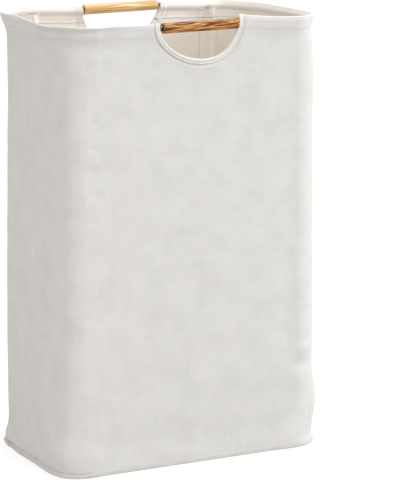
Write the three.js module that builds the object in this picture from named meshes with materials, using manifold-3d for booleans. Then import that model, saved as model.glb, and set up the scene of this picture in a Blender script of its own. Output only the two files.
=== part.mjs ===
// A slim cloth laundry hamper that folds down. A steel wire rim runs in a stitched hem and carries a
// wooden grip over a half-moon hand opening on each long side. Lined walls stand on a bound, stiff
// base, held up by four rods that lift out of sleeves near the corners. Millimetres, +Z up, origin
// at the middle of the underside, front face towards -Y.
import * as THREE from "three";
import { mergeVertices } from "three/addons/utils/BufferGeometryUtils.js";
import Module from "manifold-3d";

// Body of the hamper, measured outside the walls just under the rim
const bodyWidth = 402;
const bodyDepth = 240;
const bodyHeight = 640;
const cornerRadius = 42;
const wallSpread = 5;
const rimFlare = 6;
const rimFlareHeight = 36;
const baseFlare = 4;
const baseFlareHeight = 45;

// Cloth layers and the gaps between stitched or sliding pieces
const wallThickness = 1;
const liningThickness = 0.8;
const tapeThickness = 0.8;
const seatGap = 0.3;
const slideClearance = 0.5;
const cutOverrun = 20;

// Side seams, set back from the middle of the narrow sides
const seamSetback = 16;
const seamTapeWidth = 14;

// Base
const panelThickness = 1.2;
const boardThickness = 3.5;
const baseBindingProud = 1.5;
const baseBindingDepth = 4;
const baseBindingRounding = 1;

// Wire rim, its crimped joint and the hem that it runs in
const wireRadius = 2;
const wireButtGap = 1;
const ferruleWall = 0.7;
const ferruleLength = 24;
const ferruleEdge = 0.2;
const hemHeight = 24;
const hemStitchBand = 7;
const hemSlack = 2.7;

// Wooden grips
const gripLength = 120;
const gripRadius = 7.5;
const gripBoreRadius = 4;
const gripEdge = 0.8;
const gripEndGap = 2;

// Hand openings: a half-ellipse hung from the grip's axis, and its binding
const handDepth = 47;
const handBindingWidth = 6;

// Support rods, their moulded tips, and the sleeves that hold them
const rodRadius = 2.5;
const rodHeadDrop = 12;
const tipWall = 0.8;
const tipLength = 14;
const tipFloor = 4;
const tipRounding = 1.2;
const sleeveFlangeWidth = 6;

// Facet counts, and the shares of the flares at which the cloth bends
const cornerSteps = 6;
const roundSteps = 8;
const handSteps = 24;
const gripSteps = 24;
const rodSteps = 12;
const arcSteps = 6;
const flareShares = [0.25, 0.5, 0.75, 1];

// Worked-out places, from the floor up and from the wall's outer face inwards
const halfWidth = bodyWidth / 2;
const halfDepth = bodyDepth / 2;
const handHalfWidth = gripLength / 2 + gripEndGap;
const baseBindingHeight = panelThickness + seatGap + boardThickness;
const wallFoot = baseBindingHeight + seatGap;
const floorTop = wallFoot + liningThickness;
const liningFoot = floorTop + seatGap;
const hemBottom = bodyHeight - hemHeight;
const stitchTop = hemBottom + hemStitchBand;
const wallTop = hemBottom - seatGap;
const liningOuter = wallThickness + seatGap;
const liningInner = liningOuter + liningThickness;
const tapeOuter = liningInner + seatGap;
const ferruleBore = wireRadius + seatGap;
const ferruleRadius = ferruleBore + ferruleWall;
const hemCavity = ferruleRadius + seatGap;
const hemRound = hemCavity + wallThickness;
const hemArcZ = bodyHeight - hemRound;
const wireZ = hemArcZ - hemSlack;
const wireInset = wallThickness + hemCavity;
const hemBellyZ = wireZ - hemCavity;
const gripZ = wireZ - (gripBoreRadius - wireRadius - seatGap);
const tipBore = rodRadius + seatGap;
const tipRadius = tipBore + tipWall;
const sleeveBore = tipRadius + slideClearance;
const sleeveArch = sleeveBore + tapeThickness;
const sleeveHalfWidth = sleeveArch + sleeveFlangeWidth;
const rodX = halfWidth - cornerRadius - sleeveHalfWidth;

// Distance outside the plain outline at a height: the walls spread evenly from the rim to the floor,
// and the rim and the foot flare out a little more
function flareAt(z) {
  const wall = wallSpread * (1 - z / bodyHeight);
  const top = rimFlare * THREE.MathUtils.smoothstep(z, bodyHeight - rimFlareHeight, bodyHeight);
  const foot = baseFlare * (1 - THREE.MathUtils.smoothstep(z, 0, baseFlareHeight));
  return wall + top + foot;
}

// Inset of the cavity side of the hem's inner leaf: flat where it is stitched, full at the wire
function hemLeafInset(z) {
  const belly = THREE.MathUtils.smoothstep(z, stitchTop, hemBellyZ);
  return THREE.MathUtils.lerp(tapeOuter, wallThickness + 2 * hemCavity, belly);
}

// Heights at which the hem's inner leaf bends
const hemLeafLevels = [hemBottom, stitchTop, (stitchTop + hemBellyZ) / 2, hemBellyZ];

// Heights at which cloth between two levels bends to follow the flares
function clothLevels(from, to) {
  const foot = flareShares.map((share) => share * baseFlareHeight);
  const rim = flareShares.map((share) => bodyHeight - share * rimFlareHeight).reverse();
  return [from, ...[...foot, ...rim].filter((z) => z > from && z < to), to];
}

// Centre line of a rod from the wall's outer face: clear of the hem, which bulges past the wall
const hemReach = Math.max(...hemLeafLevels.map((z) => hemLeafInset(z) + wallThickness - flareAt(z)));
const rodInset = Math.max(hemReach, tapeOuter + tapeThickness) + slideClearance + tipRadius;

// Samples of the outline, counterclockwise from above, each with its outward normal
function cornerSamples(signX, signY) {
  const start = Math.atan2(signY, signX) - Math.PI / 4;
  return Array.from({ length: cornerSteps + 1 }, (_, step) => {
    const angle = start + (Math.PI / 2) * (step / cornerSteps);
    const nx = Math.cos(angle);
    const ny = Math.sin(angle);
    const x = signX * (halfWidth - cornerRadius) + cornerRadius * nx;
    const y = signY * (halfDepth - cornerRadius) + cornerRadius * ny;
    return { x, y, nx, ny };
  });
}

function sideSample(signX, y) {
  return { x: signX * halfWidth, y, nx: signX, ny: 0 };
}

function faceSample(signY, x) {
  return { x, y: signY * halfDepth, nx: 0, ny: signY };
}

const seamFront = seamSetback - seatGap / 2;
const seamBack = seamSetback + seatGap / 2;

const frontPath = [
  sideSample(-1, seamFront),
  ...cornerSamples(-1, -1),
  ...cornerSamples(1, -1),
  sideSample(1, seamFront),
];

const backPath = [
  sideSample(1, seamBack),
  ...cornerSamples(1, 1),
  ...cornerSamples(-1, 1),
  sideSample(-1, seamBack),
];

const wholePath = [
  ...cornerSamples(-1, -1),
  ...cornerSamples(1, -1),
  ...cornerSamples(1, 1),
  ...cornerSamples(-1, 1),
];

// Turns a geometry's faces round where they point inwards
function facingOut(geometry) {
  const position = geometry.getAttribute("position");
  const index = Array.from(geometry.index.array);
  const corner = (i) => new THREE.Vector3().fromBufferAttribute(position, index[i]);
  let volume = 0;
  for (let i = 0; i < index.length; i += 3) {
    volume += corner(i).dot(corner(i + 1).cross(corner(i + 2)));
  }
  if (volume < 0) {
    index.reverse();
  }
  geometry.setIndex(index);
  return geometry;
}

// Triangles of a flat outline, each in the outline's own turning direction
function outlineFaces(outline) {
  const turn = Math.sign(THREE.ShapeUtils.area(outline));
  return THREE.ShapeUtils.triangulateShape(outline, []).map(([a, b, c]) => {
    const same = Math.sign(THREE.ShapeUtils.area([outline[a], outline[b], outline[c]])) === turn;
    return same ? [a, b, c] : [a, c, b];
  });
}

// A closed solid through rings of points: capped at both ends, or joined into a loop. The outline
// is the flat shape of a ring, used only to fill the caps.
function loft(rings, outline, loop = false) {
  const count = outline.length;
  const index = [];
  rings.forEach((_, ring) => {
    if (ring === rings.length - 1 && !loop) {
      return;
    }
    const a = ring * count;
    const b = ((ring + 1) % rings.length) * count;
    for (let i = 0; i < count; i++) {
      const j = (i + 1) % count;
      index.push(a + i, a + j, b + j, a + i, b + j, b + i);
    }
  });
  if (!loop) {
    const last = (rings.length - 1) * count;
    for (const [a, b, c] of outlineFaces(outline)) {
      index.push(a, c, b, last + a, last + b, last + c);
    }
  }
  const geometry = new THREE.BufferGeometry().setFromPoints(rings.flat());
  geometry.setIndex(index);
  return facingOut(geometry);
}

// A profile of [outward distance, height] pairs carried along the outline's samples
function sweep(path, profile, loop = false) {
  const outline = profile.map(([out, z]) => new THREE.Vector2(out, z));
  const rings = path.map(({ x, y, nx, ny }) =>
    profile.map(([out, z]) => new THREE.Vector3(x + nx * out, y + ny * out, z)),
  );
  return loft(rings, outline, loop);
}

// Profile of [inset, height] pairs that spreads with the flares
function flared(profile) {
  return profile.map(([inset, z]) => [flareAt(z) - inset, z]);
}

// Profile of an upright layer of cloth between two insets and two heights
function layerProfile(outer, thickness, from, to) {
  const levels = clothLevels(from, to);
  const outside = levels.map((z) => [outer, z]);
  const inside = levels.map((z) => [outer + thickness, z]).reverse();
  return flared([...outside, ...inside]);
}

// Points on an arc as [across, up] pairs
function arcPoints(across, up, radius, startAngle, endAngle, steps) {
  return Array.from({ length: steps + 1 }, (_, step) => {
    const angle = THREE.MathUtils.lerp(startAngle, endAngle, step / steps);
    return [across + radius * Math.cos(angle), up + radius * Math.sin(angle)];
  });
}

const wasm = await Module();
wasm.setup();

function solid(geometry) {
  const bare = geometry.index ? geometry.toNonIndexed() : geometry.clone();
  bare.deleteAttribute("normal");
  bare.deleteAttribute("uv");
  const merged = mergeVertices(bare);
  return new wasm.Manifold(
    new wasm.Mesh({
      numProp: 3,
      vertProperties: merged.getAttribute("position").array,
      triVerts: new Uint32Array(merged.index.array),
    }),
  );
}

function cut(geometry, tool) {
  const result = solid(geometry).subtract(solid(tool)).getMesh();
  const cutGeometry = new THREE.BufferGeometry();
  cutGeometry.setAttribute("position", new THREE.BufferAttribute(result.vertProperties, result.numProp));
  cutGeometry.setIndex(new THREE.BufferAttribute(result.triVerts, 1));
  return cutGeometry;
}

// Cutter for a hand opening: the half-ellipse under the grip and the gap in the hem above it
function handCutter(signY) {
  const halfSpan = handHalfWidth + tapeThickness + seatGap;
  const depth = handDepth + tapeThickness + seatGap;
  const shape = new THREE.Shape();
  shape.moveTo(-halfSpan, cutOverrun);
  shape.lineTo(-halfSpan, 0);
  shape.absellipse(0, 0, halfSpan, depth, Math.PI, 2 * Math.PI, false, 0);
  shape.lineTo(halfSpan, cutOverrun);
  shape.closePath();
  const cutter = new THREE.ExtrudeGeometry(shape, {
    depth: 2 * cutOverrun,
    bevelEnabled: false,
    curveSegments: handSteps,
  });
  cutter.rotateX(Math.PI / 2);
  cutter.translate(0, signY * halfDepth + cutOverrun, gripZ);
  return cutter;
}

// Flat plate with the body's rounded outline, drawn in by an inset. Each unit of curveSegments gives
// an arc two facets, so half of cornerSteps keeps them in line with the walls.
function basePlate(inset, bottom, thickness) {
  const spread = flareAt(bottom) - inset;
  const x = halfWidth + spread;
  const y = halfDepth + spread;
  const r = cornerRadius + spread;
  const shape = new THREE.Shape();
  shape.absarc(x - r, y - r, r, 0, Math.PI / 2);
  shape.absarc(r - x, y - r, r, Math.PI / 2, Math.PI);
  shape.absarc(r - x, r - y, r, Math.PI, 1.5 * Math.PI);
  shape.absarc(x - r, r - y, r, 1.5 * Math.PI, 2 * Math.PI);
  const plate = new THREE.ExtrudeGeometry(shape, {
    depth: thickness,
    bevelEnabled: false,
    curveSegments: cornerSteps / 2,
  });
  return plate.translate(0, 0, bottom);
}

// Rolled binding round the foot of the walls, with its edges rounded off
function baseBinding() {
  const outer = -baseBindingProud;
  const inner = baseBindingDepth - baseBindingProud;
  const top = baseBindingHeight;
  const edge = baseBindingRounding;
  const spread = flareAt(0);
  const profile = [
    [outer + edge, 0],
    [inner, 0],
    [inner, top],
    [outer + edge, top],
    [outer, top - edge],
    [outer, edge],
  ];
  return sweep(wholePath, profile.map(([inset, z]) => [spread - inset, z]), true);
}

const baseInset = baseBindingDepth - baseBindingProud + seatGap;

// Hem: one band of cloth up the outside, over the wire and down the inside
function hemProfile() {
  const leaf = hemLeafLevels.map((z) => [hemLeafInset(z), z]);
  const leafInside = leaf.map(([inset, z]) => [inset + wallThickness, z]);
  const fold = (radius) => arcPoints(wireInset, hemArcZ, radius, Math.PI, 0, arcSteps);
  return flared([
    [0, hemBottom],
    ...fold(hemRound),
    ...leafInside.reverse(),
    ...leaf,
    ...fold(hemCavity).reverse(),
    [wallThickness, hemBottom],
  ]);
}

function hemQuarter(signX, signY) {
  const seam = sideSample(signX, signY < 0 ? seamFront : seamBack);
  const stub = faceSample(signY, signX * (handHalfWidth - cutOverrun));
  const middle = cornerSamples(signX, signY);
  const startsAtSeam = signX * signY > 0;
  const path = startsAtSeam ? [seam, ...middle, stub] : [stub, ...middle, seam];
  return cut(sweep(path, hemProfile()), handCutter(signY));
}

// Rim wire: one bent length whose ends meet at the left seam
const wireOut = flareAt(wireZ) - wireInset;

function rimWire() {
  const start = sideSample(-1, seamSetback - wireButtGap / 2);
  const end = sideSample(-1, seamSetback + wireButtGap / 2);
  const section = arcPoints(wireOut, wireZ, wireRadius, 0, 2 * Math.PI, roundSteps).slice(0, -1);
  return sweep([start, ...wholePath, end], section);
}

// A tube about Y, from its closed section
function tube(bore, radius, length, edge) {
  const section = [
    new THREE.Vector2(bore, -length / 2),
    new THREE.Vector2(radius - edge, -length / 2),
    new THREE.Vector2(radius, edge - length / 2),
    new THREE.Vector2(radius, length / 2 - edge),
    new THREE.Vector2(radius - edge, length / 2),
    new THREE.Vector2(bore, length / 2),
    new THREE.Vector2(bore, -length / 2),
  ];
  return new THREE.LatheGeometry(section, gripSteps);
}

// Binding folded over the cut edge of a hand opening, from the hem on one side to the other
function handBinding(signY) {
  const outside = -seatGap - tapeThickness;
  const inside = liningInner + seatGap;
  const section = [
    [handBindingWidth, outside],
    [0, outside],
    [0, inside + tapeThickness],
    [handBindingWidth, inside + tapeThickness],
    [handBindingWidth, inside],
    [tapeThickness, inside],
    [tapeThickness, -seatGap],
    [handBindingWidth, -seatGap],
  ];
  const endAngle = Math.asin((gripZ - wallTop) / handDepth);
  const rings = Array.from({ length: handSteps + 1 }, (_, step) => {
    const angle = THREE.MathUtils.lerp(endAngle, Math.PI - endAngle, step / handSteps);
    return section.map(([reach, inset]) => {
      const x = (handHalfWidth + reach) * Math.cos(angle);
      const z = gripZ - (handDepth + reach) * Math.sin(angle);
      return new THREE.Vector3(x, signY * (halfDepth + flareAt(z) - inset), z);
    });
  });
  return loft(rings, section.map(([reach, inset]) => new THREE.Vector2(reach, inset)));
}

// Hat-shaped tape: two stitched flanges that lie on the cloth, and an arch round the rod
function sleeve(signX, signY, levels, flangeInset) {
  const section = (z) => {
    const back = flangeInset(z) - flareAt(z);
    const front = back + tapeThickness;
    return [
      [-sleeveHalfWidth, front],
      [-sleeveArch, front],
      ...arcPoints(0, rodInset, sleeveArch, Math.PI, 0, arcSteps),
      [sleeveArch, front],
      [sleeveHalfWidth, front],
      [sleeveHalfWidth, back],
      [sleeveBore, back],
      ...arcPoints(0, rodInset, sleeveBore, 0, Math.PI, arcSteps),
      [-sleeveBore, back],
      [-sleeveHalfWidth, back],
    ];
  };
  const x = signX * rodX;
  const rings = levels.map((z) =>
    section(z).map(([along, inset]) => new THREE.Vector3(x + along, signY * (halfDepth - inset), z)),
  );
  return loft(rings, section(levels[0]).map(([along, inset]) => new THREE.Vector2(along, inset)));
}

// Long sleeve sewn to the lining, from the floor to the hem
function rodCasing(signX, signY) {
  return sleeve(signX, signY, clothLevels(liningFoot, wallTop), () => tapeOuter);
}

// Short loop sewn to the hem, which keeps the head of a rod under the rim
function rodLoop(signX, signY) {
  return sleeve(signX, signY, hemLeafLevels, (z) => hemLeafInset(z) + wallThickness + seatGap);
}

// Rod parts stand along +Z with their foot at zero
const rodFoot = liningFoot;
const rodHead = bodyHeight - rodHeadDrop;

function rodTip() {
  const points = [
    [0, 0],
    [tipRadius - tipRounding, 0],
    [tipRadius, tipRounding],
    [tipRadius, tipLength],
    [tipBore, tipLength],
    [tipBore, tipFloor],
    [0, tipFloor],
  ];
  const profile = points.map(([r, z]) => new THREE.Vector2(r, z));
  return new THREE.LatheGeometry(profile, rodSteps).rotateX(Math.PI / 2);
}

function rodShaft() {
  const length = rodHead - rodFoot - 2 * (tipFloor + seatGap);
  const shaft = new THREE.CylinderGeometry(rodRadius, rodRadius, length, rodSteps);
  return shaft.rotateX(Math.PI / 2).translate(0, 0, (rodHead - rodFoot) / 2);
}

// Finishes
function finish(color, roughness, metalness = 0) {
  return new THREE.MeshStandardMaterial({ color, roughness, metalness });
}

const canvas = finish("#e2e0dc", 0.9);
const lining = finish("#d8ccc2", 0.75);
const tape = finish("#efebe3", 0.85);
const board = finish("#b9a489", 0.8);
const walnutStain = finish("#b27a38", 0.5);
const honeyWood = finish("#d8b377", 0.5);
const steel = finish("#9a9c9e", 0.35, 1);
const glassFibre = finish("#d5d6d2", 0.45);
const blackPlastic = finish("#2c2c2d", 0.6);

const hamper = new THREE.Group();

function add(parent, name, geometry, material) {
  const mesh = new THREE.Mesh(geometry, material);
  mesh.name = name;
  parent.add(mesh);
  return mesh;
}

const longSides = [
  ["front", -1],
  ["back", 1],
];
const narrowSides = [
  ["left", -1],
  ["right", 1],
];

function addBase() {
  const boardZ = panelThickness + seatGap;
  add(hamper, "base_panel", basePlate(baseInset, 0, panelThickness), canvas);
  add(hamper, "base_board", basePlate(baseInset + seatGap, boardZ, boardThickness), board);
  add(hamper, "base_binding", baseBinding(), tape);
  add(hamper, "floor_lining", basePlate(liningOuter, wallFoot, liningThickness), lining);
}

function addWalls() {
  const paths = { front: frontPath, back: backPath };
  for (const [name, signY] of longSides) {
    const outer = sweep(paths[name], layerProfile(0, wallThickness, wallFoot, wallTop));
    const inner = sweep(paths[name], layerProfile(liningOuter, liningThickness, liningFoot, wallTop));
    add(hamper, `${name}_wall`, cut(outer, handCutter(signY)), canvas);
    add(hamper, `${name}_lining`, cut(inner, handCutter(signY)), lining);
  }
  for (const [name, signX] of narrowSides) {
    const edges = [seamSetback - seamTapeWidth / 2, seamSetback + seamTapeWidth / 2];
    const path = edges.map((y) => sideSample(signX, y));
    const strip = sweep(path, layerProfile(tapeOuter, tapeThickness, liningFoot, wallTop));
    add(hamper, `${name}_seam_tape`, strip, tape);
  }
}

function addRim() {
  add(hamper, "rim_wire", rimWire(), steel);
  const crimp = tube(ferruleBore, ferruleRadius, ferruleLength, ferruleEdge);
  const ferrule = add(hamper, "wire_ferrule", crimp, steel);
  ferrule.position.set(-halfWidth - wireOut, seamSetback, wireZ);
  for (const [name, signY] of longSides) {
    for (const [side, signX] of narrowSides) {
      add(hamper, `hem_${name}_${side}`, hemQuarter(signX, signY), canvas);
    }
    add(hamper, `${name}_hand_binding`, handBinding(signY), tape);
  }
}

function addGrips() {
  for (const [name, signY] of longSides) {
    const bar = tube(gripBoreRadius, gripRadius, gripLength, gripEdge).rotateZ(Math.PI / 2);
    const grip = add(hamper, `${name}_grip`, bar, signY < 0 ? walnutStain : honeyWood);
    grip.position.set(0, signY * (halfDepth + wireOut), gripZ);
  }
}

function addRods() {
  for (const [name, signY] of longSides) {
    for (const [side, signX] of narrowSides) {
      const place = `${name}_${side}`;
      add(hamper, `rod_casing_${place}`, rodCasing(signX, signY), tape);
      add(hamper, `rod_loop_${place}`, rodLoop(signX, signY), tape);
      const rod = new THREE.Group();
      rod.position.set(signX * rodX, signY * (halfDepth - rodInset), rodFoot);
      hamper.add(rod);
      add(rod, `rod_${place}`, rodShaft(), glassFibre);
      add(rod, `rod_foot_${place}`, rodTip(), blackPlastic);
      const head = add(rod, `rod_head_${place}`, rodTip(), blackPlastic);
      head.rotation.x = Math.PI;
      head.position.z = rodHead - rodFoot;
    }
  }
}

addBase();
addWalls();
addRim();
addGrips();
addRods();

export default hamper;
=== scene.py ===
"""Looks of a slim folding laundry hamper: lined canvas walls on a wire rim, two wooden grips over half-moon
hand openings, a bound stiff base, and four support rods in sleeves. Metres, +Z up, the front faces -Y."""

import math
from functools import partial

import bmesh
import bpy
import numpy as np
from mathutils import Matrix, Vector, noise


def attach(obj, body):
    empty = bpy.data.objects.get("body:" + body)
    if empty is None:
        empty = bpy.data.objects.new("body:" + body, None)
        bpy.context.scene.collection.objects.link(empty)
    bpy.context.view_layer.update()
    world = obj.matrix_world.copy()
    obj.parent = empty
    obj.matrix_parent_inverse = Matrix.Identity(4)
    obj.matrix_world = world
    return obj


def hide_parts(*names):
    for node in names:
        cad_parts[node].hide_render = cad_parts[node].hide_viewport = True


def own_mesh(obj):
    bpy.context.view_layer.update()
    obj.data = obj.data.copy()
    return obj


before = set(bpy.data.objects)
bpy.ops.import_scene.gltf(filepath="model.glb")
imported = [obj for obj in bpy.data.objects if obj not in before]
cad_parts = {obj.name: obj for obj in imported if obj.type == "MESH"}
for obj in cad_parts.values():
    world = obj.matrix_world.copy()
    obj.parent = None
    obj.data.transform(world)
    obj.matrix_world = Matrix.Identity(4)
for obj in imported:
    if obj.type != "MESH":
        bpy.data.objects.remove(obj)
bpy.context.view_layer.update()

MM = 0.001

# Outside of the plain walls just under the rim, as in the solid model
HALF_WIDTH, HALF_DEPTH, HEIGHT, CORNER = 201 * MM, 120 * MM, 640 * MM, 42 * MM
SEAM_Y = 16 * MM
WALL_SPREAD = 5 * MM
RIM_FLARE, RIM_FLARE_HEIGHT = 6 * MM, 36 * MM
FOOT_FLARE, FOOT_FLARE_HEIGHT = 4 * MM, 45 * MM

# Layers, measured in from the outside face
CANVAS, LINING, TAPE = 1.0 * MM, 0.8 * MM, 0.8 * MM
LINING_INSET = 1.3 * MM
LINED = LINING_INSET + LINING
TAPE_INSET = 2.4 * MM

# Heights on the walls
LINING_FOOT, SPLIT, HEM_FROM, TAPE_TOP = 6.4 * MM, 572 * MM, 606 * MM, 615.4 * MM
HEM_BOTTOM, STITCH_TOP, DIP_TOP, LINING_TOP = 616 * MM, 623 * MM, 624 * MM, 621 * MM
WIRE_Z, WIRE_INSET, WIRE_RADIUS = 633 * MM, 4.3 * MM, 2 * MM

# Hand openings: half an ellipse hung from the middle of the grip
GRIP_Z, GRIP_Y, GRIP_LENGTH, GRIP_RADIUS, GRIP_BORE = 631.3 * MM, 121.16 * MM, 120 * MM, 7.5 * MM, 4 * MM
MOON_HALF_WIDTH, MOON_DEPTH, CLOTH_CLEAR = 62 * MM, 47 * MM, 1.1 * MM
CUT_HALF_WIDTH, CUT_DEPTH = MOON_HALF_WIDTH + CLOTH_CLEAR, MOON_DEPTH + CLOTH_CLEAR

# Foot's binding: how far it stands out where it shows, its height and the height of its stitches, and the
# places in millimetres round the hamper of its lap and of the back left corner, over which it leans out
BAND_PROUD, BAND_HEIGHT, BAND_STITCH_Z = 1.3 * MM, 5.3 * MM, 3.7 * MM
LAP_AT, BACK_LEFT_AT = 147, 1119

# Rods, their tips and their sleeves
ROD_X, ROD_INSET, ROD_RADIUS = 148.1 * MM, 7.81 * MM, 2.5 * MM
ROD_LOW, ROD_HIGH = 6.4 * MM, 628 * MM
TIP_RADIUS, TIP_LENGTH, TIP_FLOOR = 3.6 * MM, 14 * MM, 4 * MM
SLEEVE_ARCH, SLEEVE_STITCH, LOOP_SPAN = 4.9 * MM, 15.4 * MM, (616.2 * MM, 629.5 * MM)

CORNERS = [("front_left", -1, -1), ("front_right", -1, 1), ("back_left", 1, -1), ("back_right", 1, 1)]


# Small helpers for modelling

def deselect():
    bpy.ops.object.select_all(action="DESELECT")


def alone(piece):
    """Make a piece the active and only selected one."""
    deselect()
    bpy.context.view_layer.objects.active = piece
    piece.select_set(True)


def settle(piece):
    alone(piece)
    bpy.ops.object.transform_apply(location=True, rotation=True, scale=True)


def new_object(name, data):
    made = bpy.data.objects.new(name, data)
    bpy.context.scene.collection.objects.link(made)
    return made


def primitive(add, name="", **settings):
    """A new piece from the operator that adds it, its place put into its mesh, so that it sits at the
    origin."""
    deselect()
    add(**settings)
    piece = bpy.context.object
    if name:
        piece.name = piece.data.name = name
    settle(piece)
    return piece


def shape_by_hand(piece, mode="FACE"):
    """Open a piece alone in edit mode with nothing selected."""
    alone(piece)
    bpy.ops.object.mode_set(mode="EDIT")
    bpy.ops.mesh.select_mode(type=mode)
    bpy.ops.mesh.select_all(action="DESELECT")


def pick(piece, kind, test):
    """Select only the faces whose middle and normal pass the test, or the edges whose two ends do."""
    bpy.ops.mesh.select_all(action="DESELECT")
    mesh = bmesh.from_edit_mesh(piece.data)
    for item in getattr(mesh, kind):
        if kind == "faces":
            item.select_set(bool(test(item.calc_center_median(), item.normal)))
        else:
            item.select_set(bool(test(item.verts[0].co, item.verts[1].co)))
    mesh.select_flush_mode()
    bmesh.update_edit_mesh(piece.data)


def done():
    bpy.ops.object.mode_set(mode="OBJECT")


def apply_modifier(piece, kind, **settings):
    alone(piece)
    bpy.ops.object.modifier_add(type=kind)
    modifier = piece.modifiers[-1]
    for name, value in settings.items():
        setattr(modifier, name, value)
    bpy.ops.object.modifier_apply(modifier=modifier.name)


def read_points(piece):
    flat = np.empty(len(piece.data.vertices) * 3)
    piece.data.vertices.foreach_get("co", flat)
    return flat.reshape(-1, 3)


def write_points(piece, points):
    piece.data.vertices.foreach_set("co", np.ascontiguousarray(points, float).ravel())
    piece.data.update()


def read_uv(piece):
    flat = np.empty(len(piece.data.loops) * 2)
    piece.data.uv_layers.active.data.foreach_get("uv", flat)
    return flat.reshape(-1, 2)


def write_uv(piece, uv):
    piece.data.uv_layers.active.data.foreach_set("uv", uv.ravel())


def dress(piece, *materials):
    piece.data.materials.clear()
    for material in materials:
        piece.data.materials.append(material)


def finish_piece(piece, body, slot, *materials, angle=35):
    """Shade a piece smooth up to an angle, and give it its looks and its body; slot is not used. The lower
    lengths of the cloth get a mesh of their own."""
    alone(piece)
    bpy.ops.object.shade_smooth_by_angle(angle=math.radians(angle))
    dress(piece, *materials)
    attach(piece, body)
    if piece.name.endswith("_lower"):
        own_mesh(piece)


# The hamper's shell: a place is s metres round it from the left seam by way of the front, inset in from
# the outside face, and z up

ARC = math.pi / 2 * CORNER
SIDE_X, SIDE_Y = HALF_WIDTH - CORNER, HALF_DEPTH - CORNER
LEGS = [
    (SIDE_Y + SEAM_Y, (-HALF_WIDTH, SEAM_Y), math.pi, False),
    (ARC, (-SIDE_X, -SIDE_Y), math.pi, True),
    (2 * SIDE_X, (-SIDE_X, -HALF_DEPTH), 1.5 * math.pi, False),
    (ARC, (SIDE_X, -SIDE_Y), 1.5 * math.pi, True),
    (2 * SIDE_Y, (HALF_WIDTH, -SIDE_Y), 0.0, False),
    (ARC, (SIDE_X, SIDE_Y), 0.0, True),
    (2 * SIDE_X, (SIDE_X, HALF_DEPTH), math.pi / 2, False),
    (ARC, (-SIDE_X, SIDE_Y), math.pi / 2, True),
    (SIDE_Y - SEAM_Y, (-HALF_WIDTH, SIDE_Y), math.pi, False),
]
GIRTH = sum(leg[0] for leg in LEGS)
RIGHT_SEAM = 2 * (SIDE_Y + SEAM_Y) + 2 * ARC + 2 * SIDE_X
FRONT_MIDDLE, BACK_MIDDLE = SIDE_Y + SEAM_Y + ARC + SIDE_X, GIRTH - (SIDE_Y - SEAM_Y) - ARC - SIDE_X


def face_s(side, x):
    """The place round the hamper of a point x along the front face, side -1, or the back face, side 1."""
    return FRONT_MIDDLE + x if side < 0 else BACK_MIDDLE - x


def wrap(s):
    return np.mod(np.asarray(s, float), GIRTH)


def around(s):
    """Points of the plain outline and their outward normals."""
    s = wrap(s)
    points, normals = np.zeros(s.shape + (2,)), np.zeros(s.shape + (2,))
    start = 0.0
    for length, origin, angle, turns in LEGS:
        here = (s >= start - 1e-12) & (s <= start + length + 1e-12)
        t = s[here] - start
        a = angle + (t / CORNER if turns else 0 * t)
        normal = np.stack([np.cos(a), np.sin(a)], -1)
        along = np.stack([-np.sin(a), np.cos(a)], -1)
        points[here] = np.array(origin) + (CORNER * normal if turns else t[:, None] * along)
        normals[here] = normal
        start += length
    return points, normals


def smoothstep(x, low, high):
    t = np.clip((np.asarray(x, float) - low) / (high - low), 0, 1)
    return t * t * (3 - 2 * t)


def rise(x, low, high):
    """A smooth step from 0 to 1 between two limits in millimetres."""
    return smoothstep(x, low * MM, high * MM)


def hump(x, middle, width):
    """A soft hump of height 1, its middle and width in millimetres."""
    return np.exp(-((x - middle * MM) / (width * MM)) ** 2)


def flare(z):
    """How far the walls stand outside the plain outline at a height."""
    wall = WALL_SPREAD * (1 - z / HEIGHT)
    rim = RIM_FLARE * smoothstep(z, HEIGHT - RIM_FLARE_HEIGHT, HEIGHT)
    foot = FOOT_FLARE * (1 - smoothstep(z, 0, FOOT_FLARE_HEIGHT))
    return wall + rim + foot


def round_table(table, s):
    """A smooth curve through the entries of a table of (s, value) in millimetres, closed round the hamper."""
    rows = np.array(table) * MM
    at = np.concatenate([rows[-2:, 0] - GIRTH, rows[:, 0], rows[:3, 0] + GIRTH])
    value = np.concatenate([rows[-2:, 1], rows[:, 1], rows[:3, 1]])
    slope = np.zeros(len(at))
    slope[1:-1] = (value[2:] - value[:-2]) / (at[2:] - at[:-2])
    s = wrap(s)
    k = np.clip(np.searchsorted(at, s, side="right") - 1, 1, len(at) - 3)
    width = at[k + 1] - at[k]
    t = (s - at[k]) / width
    return ((2 * t ** 3 - 3 * t ** 2 + 1) * value[k] + (t ** 3 - 2 * t ** 2 + t) * width * slope[k]
            + (3 * t ** 2 - 2 * t ** 3) * value[k + 1] + (t ** 3 - t ** 2) * width * slope[k + 1])


# How much lower than level the rim runs, round the hamper
RIM_DIPS = [
    (0, 1.4), (20, 2.4), (44, 3.4), (72, 2.3), (90, 0.8), (117, -1.1), (136, -0.7), (160, -0.2), (180, -0.2),
    (209, 0.8), (237, 1.7), (262, 0.9), (322, 0), (378, -3.8), (407, -1), (434, 2), (483, 4.5), (520, 5.2),
    (560, 5.9), (629, 6.4), (660, 7.3), (700, 9), (722, 9.6), (745, 8.2), (790, 8), (850, 5.2), (925, 4.2),
    (1000, 2.8), (1040, 0.7), (1085, -1.3), (1120, -0.2), (1150, 0.5), (1185, 0.2),
]


def rim_dip(s):
    s = wrap(s)
    from_seam = np.minimum(np.minimum(s, GIRTH - s), np.abs(s - RIGHT_SEAM))
    return round_table(RIM_DIPS, s) + 1.0 * MM * hump(from_seam, 0, 3)


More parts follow.
